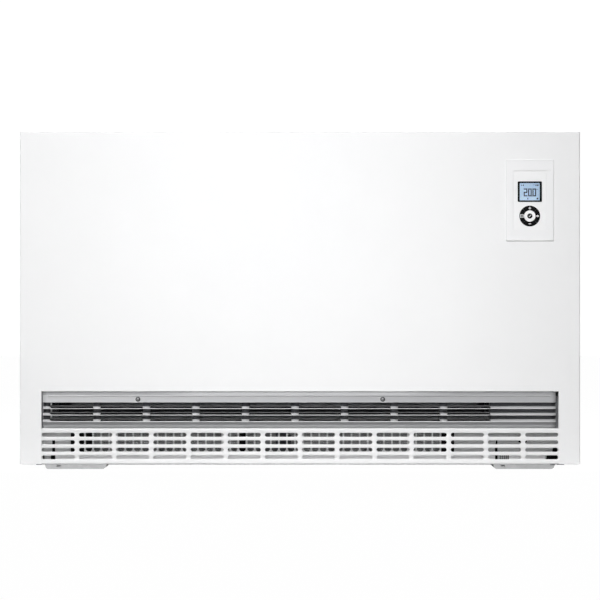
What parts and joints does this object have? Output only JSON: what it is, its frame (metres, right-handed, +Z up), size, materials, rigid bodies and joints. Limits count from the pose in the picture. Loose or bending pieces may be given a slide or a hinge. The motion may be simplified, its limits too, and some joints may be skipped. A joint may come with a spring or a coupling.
{
  "type": "storage heater",
  "caption": "Wide white floor-standing storage heater with a silver warm-air outlet grille, a slotted intake strip, low feet and a control unit with display and round keypad.",
  "frame": {"origin": "on the floor under the middle of the whole heater", "axes": "+X to the right seen from the front, +Y to the rear, towards the wall, +Z up"},
  "size_m": [1.13, 0.2524, 0.68],
  "materials": {
    "white_casing": "satin",
    "silver_grille": "satin",
    "galvanised_steel": "satin",
    "bright_steel": "polished",
    "storage_brick": "matte",
    "heater_tube": "satin",
    "insulation": "matte",
    "rotor_aluminium": "satin",
    "motor_grey": "satin",
    "bearing_bronze": "satin",
    "white_plastic": "satin",
    "black_keys": "satin",
    "display_window": "gloss",
    "display_module": "satin",
    "grey_plastic": "matte",
    "red_plastic": "satin",
    "circuit_board": "satin",
    "black_rubber": "matte"
  },
  "bodies": {
    "cabinet": {"front_panel": "white_casing", "left_side_panel": "white_casing", "right_side_panel": "white_casing", "top_panel": "white_casing", "intake_grille": "white_casing", "outlet_grille": "silver_grille", "rear_panel": "galvanised_steel", "base_tray": "galvanised_steel", "left_foot": "galvanised_steel", "right_foot": "galvanised_steel", "filter_frame": "galvanised_steel", "left_base_cover": "galvanised_steel", "right_base_cover": "galvanised_steel", "inner_front_shield": "galvanised_steel", "core_tray": "galvanised_steel", "left_core_support": "galvanised_steel", "right_core_support": "galvanised_steel", "air_baffle": "galvanised_steel", "fan_housing": "galvanised_steel", "switchgear_plate": "galvanised_steel", "foot_bolts": "bright_steel", "grille_screws": "bright_steel", "filter_gauze": "bright_steel", "lower_bricks": "storage_brick", "middle_bricks": "storage_brick", "upper_bricks": "storage_brick", "lower_element": "heater_tube", "middle_element": "heater_tube", "upper_element": "heater_tube", "core_sensor": "heater_tube", "front_insulation": "insulation", "rear_insulation": "insulation", "left_insulation": "insulation", "right_insulation": "insulation", "base_insulation": "insulation", "top_insulation": "insulation", "fan_motor": "motor_grey", "fan_bearings": "bearing_bronze", "control_bezel": "white_plastic", "control_face": "white_plastic", "display_lens": "display_window", "lcd_panel": "display_module", "terminal_block": "grey_plastic", "limiter": "grey_plastic", "control_back_cover": "grey_plastic", "power_board": "circuit_board", "control_board": "circuit_board", "cable_grommet": "black_rubber", "key_mat": "black_rubber"},
    "fan": {"left_fan_rotor": "rotor_aluminium", "right_fan_rotor": "rotor_aluminium", "fan_shaft": "bright_steel"},
    "flap": {"mixing_flap": "galvanised_steel"},
    "plus_key": {"key_plus": "black_keys"},
    "minus_key": {"key_minus": "black_keys"},
    "menu_key": {"key_menu": "black_keys"},
    "next_key": {"key_next": "black_keys"},
    "ok_key": {"key_ok": "white_plastic"},
    "reset_button": {"limiter_reset_button": "red_plastic"}
  },
  "joints": [
    {"name": "fan_spin", "type": "hinge", "parent": "cabinet", "child": "fan", "pos_m": [0, 0.01325, 0.04525], "axis": [1, 0, 0], "continuous": true},
    {"name": "flap_swing", "type": "hinge", "parent": "cabinet", "child": "flap", "pos_m": [0, 0.02345, 0.146], "axis": [-1, 0, 0], "range_deg": [0, 50]},
    {"name": "plus_press", "type": "slide", "parent": "cabinet", "child": "plus_key", "axis": [0, 1, 0], "range_m": [0, 0.0008], "stiffness_N_per_m": 300, "springref_m": -0.002},
    {"name": "minus_press", "type": "slide", "parent": "cabinet", "child": "minus_key", "axis": [0, 1, 0], "range_m": [0, 0.0008], "stiffness_N_per_m": 300, "springref_m": -0.002},
    {"name": "menu_press", "type": "slide", "parent": "cabinet", "child": "menu_key", "axis": [0, 1, 0], "range_m": [0, 0.0008], "stiffness_N_per_m": 300, "springref_m": -0.002},
    {"name": "next_press", "type": "slide", "parent": "cabinet", "child": "next_key", "axis": [0, 1, 0], "range_m": [0, 0.0008], "stiffness_N_per_m": 300, "springref_m": -0.002},
    {"name": "ok_press", "type": "slide", "parent": "cabinet", "child": "ok_key", "axis": [0, 1, 0], "range_m": [0, 0.0008], "stiffness_N_per_m": 300, "springref_m": -0.002},
    {"name": "reset_press", "type": "slide", "parent": "cabinet", "child": "reset_button", "axis": [0, 1, 0], "range_m": [0, 0.0015], "stiffness_N_per_m": 500, "springref_m": -0.002}
  ]
}
